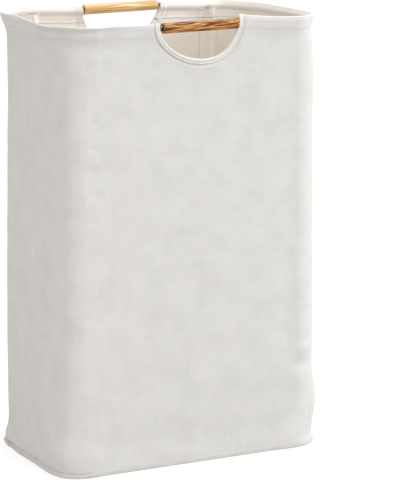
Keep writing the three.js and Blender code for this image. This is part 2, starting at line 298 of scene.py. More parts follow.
# Soft dents and puckers of the cloth: middle s and z, half sizes along s and z, depth and lean, millimetres
DENTS = [
    (150, 505, 9, 4, -1.7, 0.2), (152, 470, 10, 5, -1.9, -0.2), (149, 438, 9, 4, -1.5, 0.1),
    (153, 405, 10, 5, -1.6, 0.3), (150, 366, 9, 4, -1.1, -0.2), (155, 250, 12, 30, -0.8, 0),
    (150, 130, 13, 34, -0.8, 0.1), (490, 124, 16, 8, -3, 0.3), (486, 148, 17, 8, 2.2, 0.2),
    (470, 200, 12, 8, -1, -0.4), (478, 98, 14, 8, 1.2, 0.2), (474, 48, 12, 11, -1.6, 0.3),
    (462, 170, 9, 14, -0.8, -0.6), (523, 360, 34, 260, 1.9, 0), (523, 64, 18, 32, 6, 0),
    (126, 613, 32, 10, -4.2, 0), (140, 560, 26, 14, -0.8, -0.3), (60, 600, 26, 9, -0.8, 0.1),
    (1117, 520, 22, 70, -2.6, 0), (24, 617, 20, 2.4, 1.3, 0), (1168, 617, 22, 2.4, 1.2, 0),
    (515, 550, 24, 50, 2.4, 0), (122, 34, 30, 17, 4.6, 0), (1117, 210, 24, 110, 1.2, 0),
    (1119, 12, 28, 12, 2.6, 0), (515, 14, 30, 10, -2.2, 0), (50, 300, 60, 230, 4, 0),
    (330, 320, 130, 230, 2.4, 0), (245, 520, 50, 40, -0.5, 0.2), (425, 500, 45, 50, -0.5, -0.2),
    (380, 90, 70, 50, 0.4, 0),
]


def relief(s, z):
    """How far the cloth stands out of or into its even surface."""
    s, z = np.broadcast_arrays(wrap(s), np.asarray(z, float))
    out = np.zeros(s.shape)
    for ds, dz, along, up, depth, lean in DENTS:
        across = (s - ds * MM - lean * (z - dz * MM)) / (along * MM)
        out = out + depth * MM * np.exp(-across ** 2 - ((z - dz * MM) / (up * MM)) ** 2)
    points, normals = around(s)
    flat = [Vector(p) for p in np.concatenate([points, z[..., None]], -1).reshape(-1, 3)]
    soft = [0.45 * noise.noise(p * 9.0) + 0.2 * noise.noise(p * 31.0 + Vector((3, 7, 1))) for p in flat]
    out = out + MM * np.array(soft).reshape(out.shape)
    on_face = np.abs(normals[..., 1]) > 0.999
    at_rod = hump(np.abs(points[..., 0]) - ROD_X, 0, 12) * on_face
    held = rise(z, 4, 16) * (1 - rise(z, 612, 628))
    return out * held * (1 - 0.5 * at_rod) + drawn_in(np.sign(normals[..., 1]), points[..., 0], z) * on_face


def moon_lean(side, x, z):
    """How far the hand opening's edge lies beside the even half-ellipse. Seen from outside, its foot is to
    the right of the grip's middle, on both faces alike."""
    low = np.clip((GRIP_Z - z) / CUT_DEPTH, 0, 1)
    right = x * -side > 0
    return -side * MM * np.where(right, 8.5 * low ** 1.8 - 1.0, 11 * low ** 0.9 - 3.5)


def drawn_in(side, x, z):
    """The canvas is drawn in beside the hand opening's binding, and swells a little beyond it."""
    x, z = x - moon_lean(side, x, z), np.minimum(z, HEIGHT)
    below = np.minimum(z - GRIP_Z, 0)
    share = np.hypot(x / CUT_HALF_WIDTH, below / CUT_DEPTH)
    away = (share - 1) * np.hypot(x, below) / np.maximum(share, 1e-6)
    return (1 - rise(z, 630, 640)) * MM * (0.7 * hump(away, 12, 3.2) - 1.9 * hump(away, 7.2, 1.3))


# How far the soft foot stands off its even outline, round the hamper
FOOT_SWAYS = [
    (0, 3.7), (28, 5.2), (56, 7.2), (80, 9.2), (99, 9.2), (109, 8.2), (118, 5.4), (126, 1.9), (134, -0.2),
    (146, -1), (160, -1.6), (190, -2), (322, -2.1), (430, -2), (448, -1), (462, 0), (478, 0), (490, -1),
    (502, -1.8), (528, -2), (560, -1.8), (620, -1.8), (700, -1.5), (766, 0), (1060, 0), (1092, 0.4),
    (1117, 0.6), (1131, -0.8), (1147, -1.8), (1160, -1.6), (1184, 1.8), (1198, 2.8),
]
# How far the rim leans out past its even flare, which it does at the back left corner only
RIM_SWAYS = [
    (0, 0), (500, 0), (1000, 0), (1075, 0), (1092, 1.4), (1112, 4), (1132, 4.2), (1152, 1.6), (1170, 0),
]
# How far the top of the fold alone leans out, at the front left
LIP_SWAYS = [(0, 0.6), (40, 2.4), (80, 5.4), (130, 6), (170, 3.4), (210, 1), (245, 0), (600, 0), (1150, 0)]
# How far the canvas is drawn in between that fold and the upper hem stitches
LIP_CREASE = [
    (0, 0), (40, -0.5), (62, -1.3), (100, -1.5), (130, -1.4), (150, -0.6), (175, 0), (600, 0), (1150, 0),
]
# How far the front right corner is drawn in under the fold
CORNER_PINCH = [
    (0, 0), (300, 0), (470, 0), (484, 0), (500, -1.6), (516, -2.8), (532, -2.4), (550, -0.6), (566, 0),
    (900, 0),
]

# The front left corner is drawn tighter than the others below the hem
TIGHT_CORNER = 22 * MM


def tight_corner(s):
    """How far the tighter corner stands out of the even one."""
    turn = np.abs(np.clip((wrap(s) - LEGS[0][0]) / CORNER, 0, math.pi / 2) - math.pi / 4)
    middle = (CORNER - TIGHT_CORNER) * math.sqrt(2)
    on_arc = middle * np.cos(turn) + np.sqrt(np.maximum(TIGHT_CORNER ** 2 - (middle * np.sin(turn)) ** 2, 0))
    on_side = CORNER / np.cos(math.pi / 4 - turn)
    straight = np.tan(math.pi / 4 - turn) <= (CORNER - TIGHT_CORNER) / CORNER
    return np.where(straight, on_side, on_arc) - CORNER


def foot_out(s):
    return round_table(FOOT_SWAYS, s) + tight_corner(s)


def rim_out(s, z):
    """How far the rim stands off its even flare at a place."""
    pinched = rise(z, 600, 620) * (1 - 0.75 * rise(z, 630, 641))
    return (round_table(RIM_SWAYS, s) * rise(z, 614, 642) + round_table(CORNER_PINCH, s) * pinched
            + round_table(LIP_SWAYS, s) * rise(z, 633.5, 638.5)
            + round_table(LIP_CREASE, s) * hump(z, 632.5, 2.2))


def past_corners(s, front, back):
    """How far s lies outside the stretch from back millimetres behind the left seam to front before it."""
    s = wrap(s)
    return np.minimum(np.maximum(s - front * MM, 0), np.maximum(GIRTH - back * MM - s, 0))


def give(s, z):
    """How far the cloth stands off the even shape at a place. The foot's sway fades out 75 mm up, and 180
    mm up at the front left corner. There and on the left side the wall is nipped in over the binding."""
    fade = 75 * MM + 105 * MM * rise(wrap(s), 10, 60) * (1 - rise(wrap(s), 118, 142))
    sway = round_table(FOOT_SWAYS, s) * (1 - smoothstep(z / fade, 0.12, 1))
    corner = tight_corner(s) * (1 - rise(z, 510, 622))
    nip = -1.7 * MM * (1 - rise(z, 5.5, 8.8)) * (1 - rise(past_corners(s, 140, 90), 0, 6))
    return relief(s, z) + sway + corner + rim_out(s, z) + nip


def beside(s, out, z):
    """Points that stand outside the plain outline by out, at height z."""
    points, normals = around(s)
    return np.concatenate([points + normals * out[..., None], z[..., None]], -1)


def shell(s, inset, z):
    """Points of the cloth as it hangs; s, inset and z are its place before the cloth gives. The rim's dip
    fades out down to the split between the upper and lower cloth."""
    s, inset, z = np.broadcast_arrays(np.asarray(s, float), np.asarray(inset, float), np.asarray(z, float))
    return beside(s, flare(z) - inset + give(s, z), z - rim_dip(s) * smoothstep(z, SPLIT, DIP_TOP))


# Cloth

def reshape(piece, rule, size):
    """Move a flat unit grid to rule(u, v), and measure its UV map in metres along the cloth."""
    flat = read_points(piece)
    write_points(piece, rule(flat[:, 0] + 0.5, flat[:, 1] + 0.5))
    uv = read_uv(piece)
    width, along = size
    uv[:, 0] *= width
    uv[:, 1] = np.interp(uv[:, 1], np.linspace(0, 1, len(along)), along)
    write_uv(piece, uv)


def lengths(profile):
    steps = np.hypot(*np.diff(np.array(profile), axis=0).T)
    return np.concatenate([[0], np.cumsum(steps)])


def cloth(name, s_from, s_to, profile, columns, thickness, tuck=0.0):
    """A cut of cloth laid on the shell from s_from to s_to; profile lists (inset, z) of its face. It gets its
    thickness behind that face, and its side edges turn in by tuck, as at a seam."""
    rows = np.array(profile, float)
    piece = primitive(bpy.ops.mesh.primitive_grid_add, name, x_subdivisions=columns,
                      y_subdivisions=len(rows) - 1, size=1)
    steps = np.linspace(0, 1, len(rows))

    def rule(u, v):
        s = s_from + (s_to - s_from) * u
        edge = np.minimum(s - s_from, s_to - s)
        inset, z = np.interp(v, steps, rows[:, 0]), np.interp(v, steps, rows[:, 1])
        deep = 1 + 1.4 * rise(z, 608, 616) * (1 - rise(z, 628, 634))
        turn = tuck * (1 - rise(edge, 0, 4)) * np.where(inset < 2 * MM, deep, -2.0 * (inset > 5.5 * MM))
        return shell(s, inset + turn, z)

    reshape(piece, rule, (s_to - s_from, lengths(rows)))
    apply_modifier(piece, "SOLIDIFY", thickness=thickness, offset=-1)
    return piece


def straight_rows(inset, low, high, step):
    count = max(2, int(round((high - low) / step)) + 1)
    return [(inset, z) for z in np.linspace(low, high, count)]


# Materials

def linear(text):
    """sRGB hex to the linear colour that a shader takes."""
    values = [int(text[i:i + 2], 16) / 255 for i in (1, 3, 5)]
    return tuple(v / 12.92 if v <= 0.04045 else ((v + 0.055) / 1.055) ** 2.4 for v in values) + (1.0,)


def feed(node, inputs):
    """Set a node's inputs, each to a value or to the socket that feeds it."""
    for name, value in inputs.items():
        if isinstance(value, bpy.types.NodeSocket):
            node.id_data.links.new(value, node.inputs[name])
        else:
            node.inputs[name].default_value = value


def add_node(tree, kind, output, inputs, **settings):
    """Add one node with its settings and inputs, and return the output that is named."""
    node = tree.nodes.new("ShaderNode" + kind)
    for name, value in settings.items():
        setattr(node, name, value)
    feed(node, inputs)
    return node.outputs[output]


def new_finish(name):
    """A new material, add_node bound to its tree, and its surface node."""
    material = bpy.data.materials.new(name)
    material.use_nodes = True
    tree = material.node_tree
    return material, partial(add_node, tree), tree.nodes["Principled BSDF"]


def colours(add, factor, *stops):
    """A ramp from one colour to the next; each stop is (place, hex)."""
    colour = add("ValToRGB", "Color", {"Fac": factor})
    elements = colour.node.color_ramp.elements
    while len(elements) < len(stops):
        elements.new(0.5)
    for element, (place, text) in zip(elements, stops):
        element.position = place
        element.color = linear(text)
    return colour


def woven(name, tones, thread, slub, roughness, sheen, bump, on="UV", flecks=0.0):
    """Plain-woven cloth. tones runs from light to dark, and thread is the spacing of its threads; two crossed
    waves are the weave, stretched noise makes thick and thin threads, wide soft noise the mottling of washed
    cloth, and flecks the small knots of raw fibre in it."""
    material, add, base = new_finish(name)
    light, middle, dark = tones
    place = add("TexCoord", on, {})
    wave = {"Vector": place, "Scale": 2 * math.pi / (20 * thread), "Distortion": 0.6, "Detail": 1.0,
            "Detail Scale": 0.4}
    warp, weft = (add("TexWave", "Fac", wave, bands_direction=way) for way in "XY")
    weave = add("Math", "Value", {0: warp, 1: weft}, operation="MULTIPLY")
    slub_u, slub_v = (
        add("TexNoise", "Fac", {"Scale": 0.5, "Detail": 2.0,
                                "Vector": add("Mapping", "Vector", {"Vector": place, "Scale": stretch})})
        for stretch in ((18, 1 / thread, 1), (1 / thread, 18, 1)))
    slubs = add("Math", "Value", {0: slub_u, 1: slub_v}, operation="ADD")
    cloud = add("TexNoise", "Fac", {"Vector": place, "Scale": 26.0, "Detail": 4.0, "Roughness": 0.6})
    tone = add("Math", "Value", {0: slubs, 1: slub, 2: cloud}, operation="MULTIPLY_ADD")
    shade = add("Math", "Value", {0: weave, 1: 0.22, 2: tone}, operation="MULTIPLY_ADD")
    level = add("MapRange", "Result", {"Value": shade, "From Min": 0.25 + slub * 0.7,
                                       "From Max": 0.85 + slub * 1.3})
    near = add("TexVoronoi", "Distance", {"Vector": place, "Scale": 55.0})
    fleck = add("MapRange", "Result", {"Value": near, "From Min": 0.03, "From Max": 0.085,
                                       "To Min": flecks, "To Max": 0.0})
    toned = add("Math", "Value", {0: level, 1: fleck}, operation="SUBTRACT")
    threads = add("Math", "Value", {0: slubs, 1: 0.8, 2: weave}, operation="MULTIPLY_ADD")
    feed(base, {
        "Base Color": colours(add, toned, (0.0, dark), (0.5, middle), (1.0, light)),
        "Normal": add("Bump", "Normal", {"Height": threads, "Strength": bump, "Distance": thread * 0.35}),
        "Roughness": roughness, "Sheen Weight": sheen, "Sheen Roughness": 0.5, "Specular IOR Level": 0.25,
    })
    return material


def turned_wood(name, streak, angle, roughness, contrast, *stops):
    """Turned and lacquered wood with its grain along the grip: long stretched noise for the vessels, a wider
    one for the growth bands, both a little off the grip's line."""
    material, add, base = new_finish(name)
    place = add("TexCoord", "Object", {})
    turned = add("Mapping", "Vector", {"Vector": place, "Rotation": (0.3, angle, angle)})
    lie, fine = (add("Mapping", "Vector", {"Vector": turned, "Scale": (along, across, across)})
                 for along, across in ((14, 300), (28, 600)))
    bands = add("TexNoise", "Fac", {"Vector": lie, "Scale": 1.0, "Detail": 3.0, "Roughness": 0.55,
                                    "Distortion": 0.4})
    vessels = add("TexNoise", "Fac", {"Vector": fine, "Scale": 1.0, "Detail": 2.0})
    mixed = add("Math", "Value", {0: vessels, 1: streak, 2: bands}, operation="MULTIPLY_ADD")
    middle = 0.5 + streak / 2
    level = add("MapRange", "Result", {"Value": mixed, "From Min": middle - contrast,
                                       "From Max": middle + contrast})
    feed(base, {
        "Base Color": colours(add, level, *stops),
        "Normal": add("Bump", "Normal", {"Height": vessels, "Strength": 0.25, "Distance": 0.0002}),
        "Roughness": add("MapRange", "Result", {"Value": vessels, "To Min": roughness - 0.08,
                                                "To Max": roughness + 0.1}),
        "Coat Weight": 0.12, "Coat Roughness": 0.25, "Specular IOR Level": 0.35,
    })
    return material


def grained(name, pattern, inputs, strength, depth, roughness, *stops, stretch=None, **settings):
    """A finish with one fine pattern, which colours it and stands strength times depth metres proud."""
    material, add, base = new_finish(name)
    place = add("TexCoord", "Object", {})
    if stretch:
        place = add("Mapping", "Vector", {"Vector": place, "Scale": stretch})
    grain = add(pattern, "Fac", {"Vector": place, **inputs}, **settings)
    feed(base, {
        "Base Color": colours(add, grain, *stops), "Roughness": roughness,
        "Normal": add("Bump", "Normal", {"Height": grain, "Strength": strength, "Distance": depth}),
    })
    return material


def drawn_wire():
    """Drawn steel wire: grey, with fine lines along it and a dull film in patches."""
    material, add, base = new_finish("drawn_steel_wire")
    place = add("TexCoord", "Object", {})
    film = add("TexNoise", "Fac", {"Vector": place, "Scale": 60.0, "Detail": 4.0})
    lines = add("TexNoise", "Fac", {"Vector": place, "Scale": 900.0, "Detail": 1.0})
    feed(base, {
        "Base Color": colours(add, film, (0.3, "#717375"), (0.7, "#929496")), "Metallic": 1.0,
        "Roughness": add("MapRange", "Result", {"Value": film, "To Min": 0.34, "To Max": 0.5}),
        "Normal": add("Bump", "Normal", {"Height": lines, "Strength": 0.1, "Distance": 0.0001}),
    })
    return material


# Cotton and linen canvas, plain woven and washed: matt, warm white, softly mottled. Real thread spacing is
# about 0.6 mm; it is drawn at 1.3 mm to show
canvas = woven("cotton_linen_canvas", ("#e7e5e3", "#e0dedc", "#d6d4d2"), 1.3 * MM, 0.28, 0.92, 0.12, 0.35,
               flecks=0.55)
under_cloth = woven("cotton_linen_canvas_under", ("#e4e1dc", "#dcd9d3", "#cfcbc3"), 1.3 * MM, 0.35, 0.92, 0.1,
                    0.35, "Object")
# The same canvas cut on the bias and folded, for the foot's binding. Its tones are drawn darker than the
# walls' canvas: painted shade, for the shade along the foot
bias_canvas = woven("bias_cut_canvas_binding", ("#e0dfdc", "#d9d8d5", "#cfcecb"), 1.1 * MM, 0.3, 0.9, 0.12,
                    0.45)
# Coated lining cloth: finer, smoother, pinkish beige. On the walls it is drawn a little paler than the same
# cloth on the floor: painted light, for the light that comes into the hamper through its walls
lining_cloth = woven("coated_lining_cloth", ("#f7f1ea", "#f4eee6", "#ede5dc"), 0.9 * MM, 0.2, 0.62, 0.05,
                     0.18)
# The same lining cloth on the floor, in its tones without the painted light of the walls' lining
floor_cloth = woven("coated_lining_cloth_floor", ("#f4eee7", "#f1ebe4", "#eae2d9"), 0.9 * MM, 0.2, 0.62, 0.05,
                    0.18, "Object")
# The lining where it faces the hem, paler with the canvas close behind it
hem_facing = woven("lining_hem_facing", ("#f3ede8", "#efe8e3", "#e7e0da"), 0.9 * MM, 0.2, 0.7, 0.05, 0.18)
# Folded cotton binding tape: close ribs, a little lighter and creamier than the canvas
tape = woven("cotton_binding_tape", ("#f7f5f1", "#f1efea", "#e5e1d9"), 0.9 * MM, 0.25, 0.85, 0.15, 0.5)
# Walnut-stained turned wood: golden brown with strong dark streaks
front_wood = turned_wood("stained_turned_wood", 1.6, 0.05, 0.42, 0.25, (0.0, "#3c1a04"), (0.25, "#6e390d"),
                         (0.5, "#9c5c1e"), (0.75, "#c48038"), (1.0, "#e9b872"))
# Honey-coloured turned wood: pale, with faint grain
back_wood = turned_wood("honey_turned_wood", 0.6, 0.01, 0.30, 0.3, (0.0, "#bb8a46"), (0.35, "#daae6e"),
                        (0.7, "#eecd9c"), (1.0, "#f9e8c8"))
# Spun cotton thread: a fine twist round it, drawn coarse enough to catch light
thread = grained("cotton_thread", "TexWave", {"Scale": 300.0, "Distortion": 1.0}, 0.4, 0.0002, 0.8,
                 (0.0, "#d8d2c6"), (1.0, "#f2eee6"), bands_direction="DIAGONAL")
steel = drawn_wire()
# Pressed wood-fibre board: matted short fibres, light brown, slightly shiny
hardboard = grained("pressed_hardboard", "TexNoise", {"Scale": 420.0, "Detail": 5.0, "Distortion": 1.2}, 0.25,
                    0.0002, 0.55, (0.3, "#9c8464"), (0.55, "#b9a489"), (0.75, "#cbb99f"))
# Drawn glass-fibre rod: off-white, long fibre lines under a satin resin skin
glass_fibre = grained("drawn_glass_fibre", "TexNoise", {"Scale": 1.0, "Detail": 3.0}, 0.15, 0.0001, 0.38,
                      (0.3, "#c4c4bd"), (0.6, "#d9dad5"), (0.8, "#e6e7e3"), stretch=(900, 900, 9))
# Moulded natural nylon cap: milky off-white, a fine spark-eroded grain that takes off the gloss
tip_plastic = grained("moulded_natural_nylon", "TexNoise", {"Scale": 1600.0, "Detail": 2.0}, 0.2, 0.0001,
                      0.55, (0.3, "#d5d0c7"), (0.7, "#e2ded6"))


# Hem: up the outside, over the wire, and down inside to the stitched leaf

def hem_profile(low):
    """(inset, z) of the cloth's face from a height up the outside, over the wire and down to the leaf's
    edge."""
    low, high = low / MM, HEM_FROM / MM
    outside = [(0.0, z) for z in np.linspace(low, high, max(3, int((high - low) / 2)))]
    outside += [
        (0.0, 608), (0.0, 610), (0.03, 612), (0.05, 614), (0.08, 616), (0.12, 617.5), (0.25, 618.8),
        (0.45, 619.7), (0.45, 620.3), (0.22, 621.2), (0.1, 623), (0.08, 625.5), (0.18, 628), (0.3, 629.6),
        (0.6, 630.7), (0.6, 631.3), (0.42, 632.2), (0.4, 633.6), (0.6, 635.2), (0.9, 636.6),
    ]
    fold = [(3.3 - 2.2 * math.cos(a), 637.8 + 2.2 * math.sin(a)) for a in np.linspace(0, math.pi, 13)]
    inside = [
        (6.3, 636.6), (7.2, 635), (7.3, 633), (7.0, 631.4), (6.2, 629.9), (5.2, 628.5), (4.4, 627.3),
        (3.85, 626.2), (3.5, 625), (3.4, 623.4), (3.4, 621.6), (3.25, 620.4), (3.1, 620), (3.25, 619.6),
        (3.4, 618.4), (3.4, 616),
    ]
    return [(inset * MM, z * MM) for inset, z in outside + fold + inside]


# Half-moon hand openings

def cut_half_moon(piece, side):
    """Cut the piece with a half-ellipse block through one wall, open at the top."""
    block = primitive(bpy.ops.mesh.primitive_cylinder_add, vertices=96, radius=1, depth=60 * MM,
                      rotation=(math.pi / 2, 0, 0))
    points = read_points(block)
    points[:, 0] *= CUT_HALF_WIDTH
    points[:, 2] = np.where(points[:, 2] > 1e-6, 680 * MM, GRIP_Z + points[:, 2] * CUT_DEPTH)
    points[:, 0] += moon_lean(side, points[:, 0], points[:, 2])
    points[:, 1] += side * HALF_DEPTH
    write_points(block, points)
    apply_modifier(piece, "BOOLEAN", object=block, operation="DIFFERENCE", solver="EXACT")
    bpy.data.objects.remove(block)


def unit(rows):
    return rows / np.linalg.norm(rows, axis=1)[:, None]


def binding_path():
    """Stations (x, inset, z) and the way the cloth's face looks there, along the cut edge: down the hem's
    end on one side, round the half-moon, and up the other."""
    hem = np.array([p for p in hem_profile(HEM_FROM) if p[1] >= HEM_BOTTOM - 1e-6])
    turned = np.gradient(hem, axis=0)
    faces = unit(np.stack([-turned[:, 1], turned[:, 0]], -1))
    drop = np.clip((GRIP_Z - hem[:, 1]) / CUT_DEPTH, 0, 1)
    right = np.column_stack([CUT_HALF_WIDTH * np.sqrt(1 - drop ** 2), hem, faces])
    low = math.asin((GRIP_Z - HEM_BOTTOM + 1.5 * MM) / CUT_DEPTH)
    round_edge = [(CUT_HALF_WIDTH * math.cos(a), 0.0, GRIP_Z + CUT_DEPTH * math.sin(a), -1.0, 0.0)
                  for a in np.linspace(math.pi + low, 2 * math.pi - low, 96)]
    return np.vstack([(right * (-1, 1, 1, 1, 1))[::-1], round_edge, right])


# The binding's outer leg from its edge to the fold: (place across the cut, height over the cloth),
# millimetres
BINDING_LEG = [
    (-5.9, -0.3), (-5.9, 0.6), (-5.7, 1.2), (-5.3, 1.4), (-4.9, 1.1), (-4.5, 0.2), (-4.1, -0.15),
    (-3.2, -0.15), (-2.7, 0.3), (-2.2, 1.4), (-1.5, 1.9), (-0.7, 1.9),
]
FOLD_ROWS = 7
BINDING_LIFT = 0.25 * MM


def hand_binding(name, side):
    """The tape folded round the cut edge of the hand opening, and the stations of its stitching."""
    stations = binding_path()
    x, inset, z = stations[:, 0], stations[:, 1], stations[:, 2]
    s = face_s(side, x + moon_lean(side, x, z))
    edge = shell(s, inset, z)
    _, outward = around(s)
    face = np.concatenate([-stations[:, 3:4] * outward, stations[:, 4:5]], -1)
    path = np.gradient(edge, axis=0)
    for _ in range(2):
        path[1:-1] = (path[:-2] + path[1:-1] + path[2:]) / 3
    into = unit(np.cross(unit(path), face))
    centre = np.array([0, side * HALF_DEPTH, GRIP_Z])
    into *= np.sign(np.einsum("ij,ij->i", into, (centre - edge) * np.array([1, 0, 1])))[:, None]
    lined = (1 - smoothstep(z, HEM_BOTTOM - 7 * MM, HEM_BOTTOM - 1 * MM)) * (inset < 1e-9)
    stack = CANVAS + (LINED - CANVAS) * lined
    flatter = 1 - 0.75 * rise(z, 626, 635)
    leg, count = np.array(BINDING_LEG), len(BINDING_LEG) * 2 + FOLD_ROWS
    strip = primitive(bpy.ops.mesh.primitive_grid_add, name, x_subdivisions=len(stations) - 1,
                      y_subdivisions=count - 1, size=1)

    def rule(u, v):
        i = np.rint(u * (len(stations) - 1)).astype(int)
        k = np.rint(v * (count - 1)).astype(int)
        thick, flat = stack[i], flatter[i]
        w, n = leg[np.clip(np.minimum(k, count - 1 - k), 0, len(leg) - 1)].T * MM
        turn = math.pi / 2 - math.pi * (k - len(leg) + 1) / (FOLD_ROWS + 1)
        high, low = 1.5 * MM * flat + BINDING_LIFT, thick + 0.9 * MM + BINDING_LIFT
        middle, half = (high - low) / 2, (high + low) / 2
        in_fold = (k >= len(leg)) & (k < count - len(leg))
        across = np.where(in_fold, -0.5 * MM + half * 0.72 * np.cos(turn), w)
        on_legs = np.where(k < len(leg), n * flat + BINDING_LIFT, -thick - n * 0.6 - BINDING_LIFT)
        out = np.where(in_fold, middle + half * np.sin(turn), on_legs)
        return edge[i] + into[i] * across[:, None] + face[i] * out[:, None]

    reshape(strip, rule, (0.27, np.linspace(0, 0.016, count)))
    lowest = min(strip.data.polygons, key=lambda polygon: polygon.center.z)
    inside = Vector((0, side * (HALF_DEPTH - CANVAS), lowest.center.z + 3 * MM))
    if lowest.normal.dot(lowest.center - inside) < 0:
        shape_by_hand(strip)
        bpy.ops.mesh.select_all(action="SELECT")
        bpy.ops.mesh.flip_normals()
        done()
    apply_modifier(strip, "SOLIDIFY", thickness=0.55 * MM, offset=-1)
    sewn = edge + into * (-3.6 * MM) + face * (0.45 * MM)
    return strip, sewn[(inset < 1e-9) & (z < STITCH_TOP)]


# Stitches

def stitches(name, path, body, pitch=3.4 * MM, length=2.5 * MM, width=0.55 * MM):
    """A row of machine stitches: one stitch, repeated and bent along the path."""
    line = bpy.data.curves.new(name + "_line", "CURVE")
    line.dimensions, line.twist_mode = "3D", "Z_UP"
    spline = line.splines.new("POLY")
    spline.points.add(len(path) - 1)
    spline.points.foreach_set("co", np.column_stack([path, np.ones(len(path))]).ravel())
    guide = new_object(name + "_line", line)
    total = np.linalg.norm(np.diff(path, axis=0), axis=1).sum()
    row = primitive(bpy.ops.mesh.primitive_uv_sphere_add, name, segments=6, ring_count=4, radius=0.5)
    points = read_points(row)[:, [2, 0, 1]] * (length, width, width)
    write_points(row, points + (pitch / 2, 0, 0))
    apply_modifier(row, "ARRAY", count=max(1, int(total / pitch)), use_relative_offset=False,
                   use_constant_offset=True, constant_offset_displace=(pitch, 0, 0))
    apply_modifier(row, "CURVE", object=guide, deform_axis="POS_X")
    bpy.data.objects.remove(guide)
    shape_by_hand(row)
    bpy.ops.mesh.select_all(action="SELECT")
    bpy.ops.mesh.normals_make_consistent(inside=False)
    done()
    finish_piece(row, body, "cotton_tape", thread, angle=80)


# Walls: each is one cut of canvas, split so that its upper length goes with the rim

def face_inside(piece, rows):
    """The hem is faced with the lining's cloth: everything past the top of the fold."""
    top = max(range(len(rows)), key=lambda i: rows[i][1])
    past = lengths(rows)[top] + 1.5 * MM
    v = read_uv(piece)[:, 1]
    for polygon in piece.data.polygons:
        polygon.material_index = int(v[list(polygon.loop_indices)].mean() > past)


def wall(face, side, s_from, s_to):
    lower_rows = [(0.0, z * MM) for z in (5.3, 5.9, 6.6, 7.4, 8.4, 9.6, 11.5, 14, 17)]
    lower_rows += straight_rows(0.0, 21 * MM, SPLIT, 5 * MM)
    lower = cloth(f"{face}_wall_lower", s_from, s_to, lower_rows, 220, CANVAS, tuck=0.45 * MM)
    finish_piece(lower, "base", "canvas", canvas)
    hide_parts(f"{face}_wall")
    upper_rows = hem_profile(SPLIT)
    upper = cloth(f"{face}_wall_upper", s_from, s_to, upper_rows, 300, CANVAS, tuck=0.45 * MM)
    cut_half_moon(upper, side)
    finish_piece(upper, "rim", "canvas", canvas, hem_facing)
    face_inside(upper, upper_rows)
    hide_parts(f"hem_{face}_left", f"hem_{face}_right")


def lining(face, side, s_from, s_to):
    gap = 0.4 * MM
    lower_rows = straight_rows(LINING_INSET, LINING_FOOT, SPLIT, 8 * MM)
    lower = cloth(f"{face}_lining_lower", s_from + gap, s_to - gap, lower_rows, 160, LINING)
    finish_piece(lower, "base", "lining_cloth", lining_cloth)
    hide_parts(f"{face}_lining")
    upper_rows = straight_rows(LINING_INSET, SPLIT, LINING_TOP, 5 * MM)
    upper = cloth(f"{face}_lining_upper", s_from + gap, s_to - gap, upper_rows, 170, LINING)
    cut_half_moon(upper, side)
    finish_piece(upper, "rim", "lining_cloth", lining_cloth)


# Rim wire, a tube bent to the rim's outline; it dips where the cloth shows the rim lower

def along_wire(s, across, up):
    """Points beside the wire's middle line, across its level plane and up from it."""
    x = around(s)[0][:, 0]
    free = smoothstep(np.abs(x), GRIP_LENGTH / 2, GRIP_LENGTH / 2 + 18 * MM)
    out = flare(WIRE_Z) - WIRE_INSET + rim_out(s, WIRE_Z + 1 * MM) + across
    return beside(s, out, WIRE_Z - rim_dip(s) * free + up)


def hoop(name, around_it):
    """A ring of unit radius to lay round the hamper: the piece, each point's s, and its place in the
    section."""
    piece = primitive(bpy.ops.mesh.primitive_torus_add, name, major_segments=420, minor_segments=around_it,
                      major_radius=1.0, minor_radius=0.25)
    x, y, z = read_points(piece).T
    s = np.mod(np.arctan2(y, x), 2 * math.pi) / (2 * math.pi) * GIRTH
    return piece, s, np.hypot(x, y) - 1, z


def rim_wire():
    wire, s, across, up = hoop("rim_wire_tube", 20)
    write_points(wire, along_wire(s, WIRE_RADIUS * (across / 0.25), WIRE_RADIUS * (up / 0.25)))
    finish_piece(wire, "rim", "rim_steel", steel, angle=60)
    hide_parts("rim_wire")


def wire_ferrule():
    """The crimped sleeve that joins the wire's ends behind the left seam, nipped three times and a little
    flat."""
    ferrule = primitive(bpy.ops.mesh.primitive_cylinder_add, "wire_ferrule_crimped", vertices=32, radius=1,
                        depth=24 * MM, rotation=(math.pi / 2, 0, 0))
    shape_by_hand(ferrule, "EDGE")
    pick(ferrule, "edges", lambda a, b: abs(a.y - b.y) > 1e-6)
    bpy.ops.mesh.subdivide(number_cuts=23)
    done()
    points = read_points(ferrule)
    length = points[:, 1]
    nip = sum(hump(length, at, 1.6) for at in (-7, 0, 7))
    end = np.clip((np.abs(length) - 11 * MM) / MM, 0, 1)
    across = points[:, 0] * (2.5 - 0.2 * nip - 0.3 * end) * MM
    up = points[:, 2] * (2.9 - 0.25 * nip - 0.3 * end) * MM
    write_points(ferrule, along_wire(-length, -across, up))
    finish_piece(ferrule, "rim", "rim_steel", steel)
    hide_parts("wire_ferrule")


# Base: the folded binding round the foot, the canvas underside and the lining on the board

def squared(c):
    return np.sign(c) * np.abs(c) ** 0.4


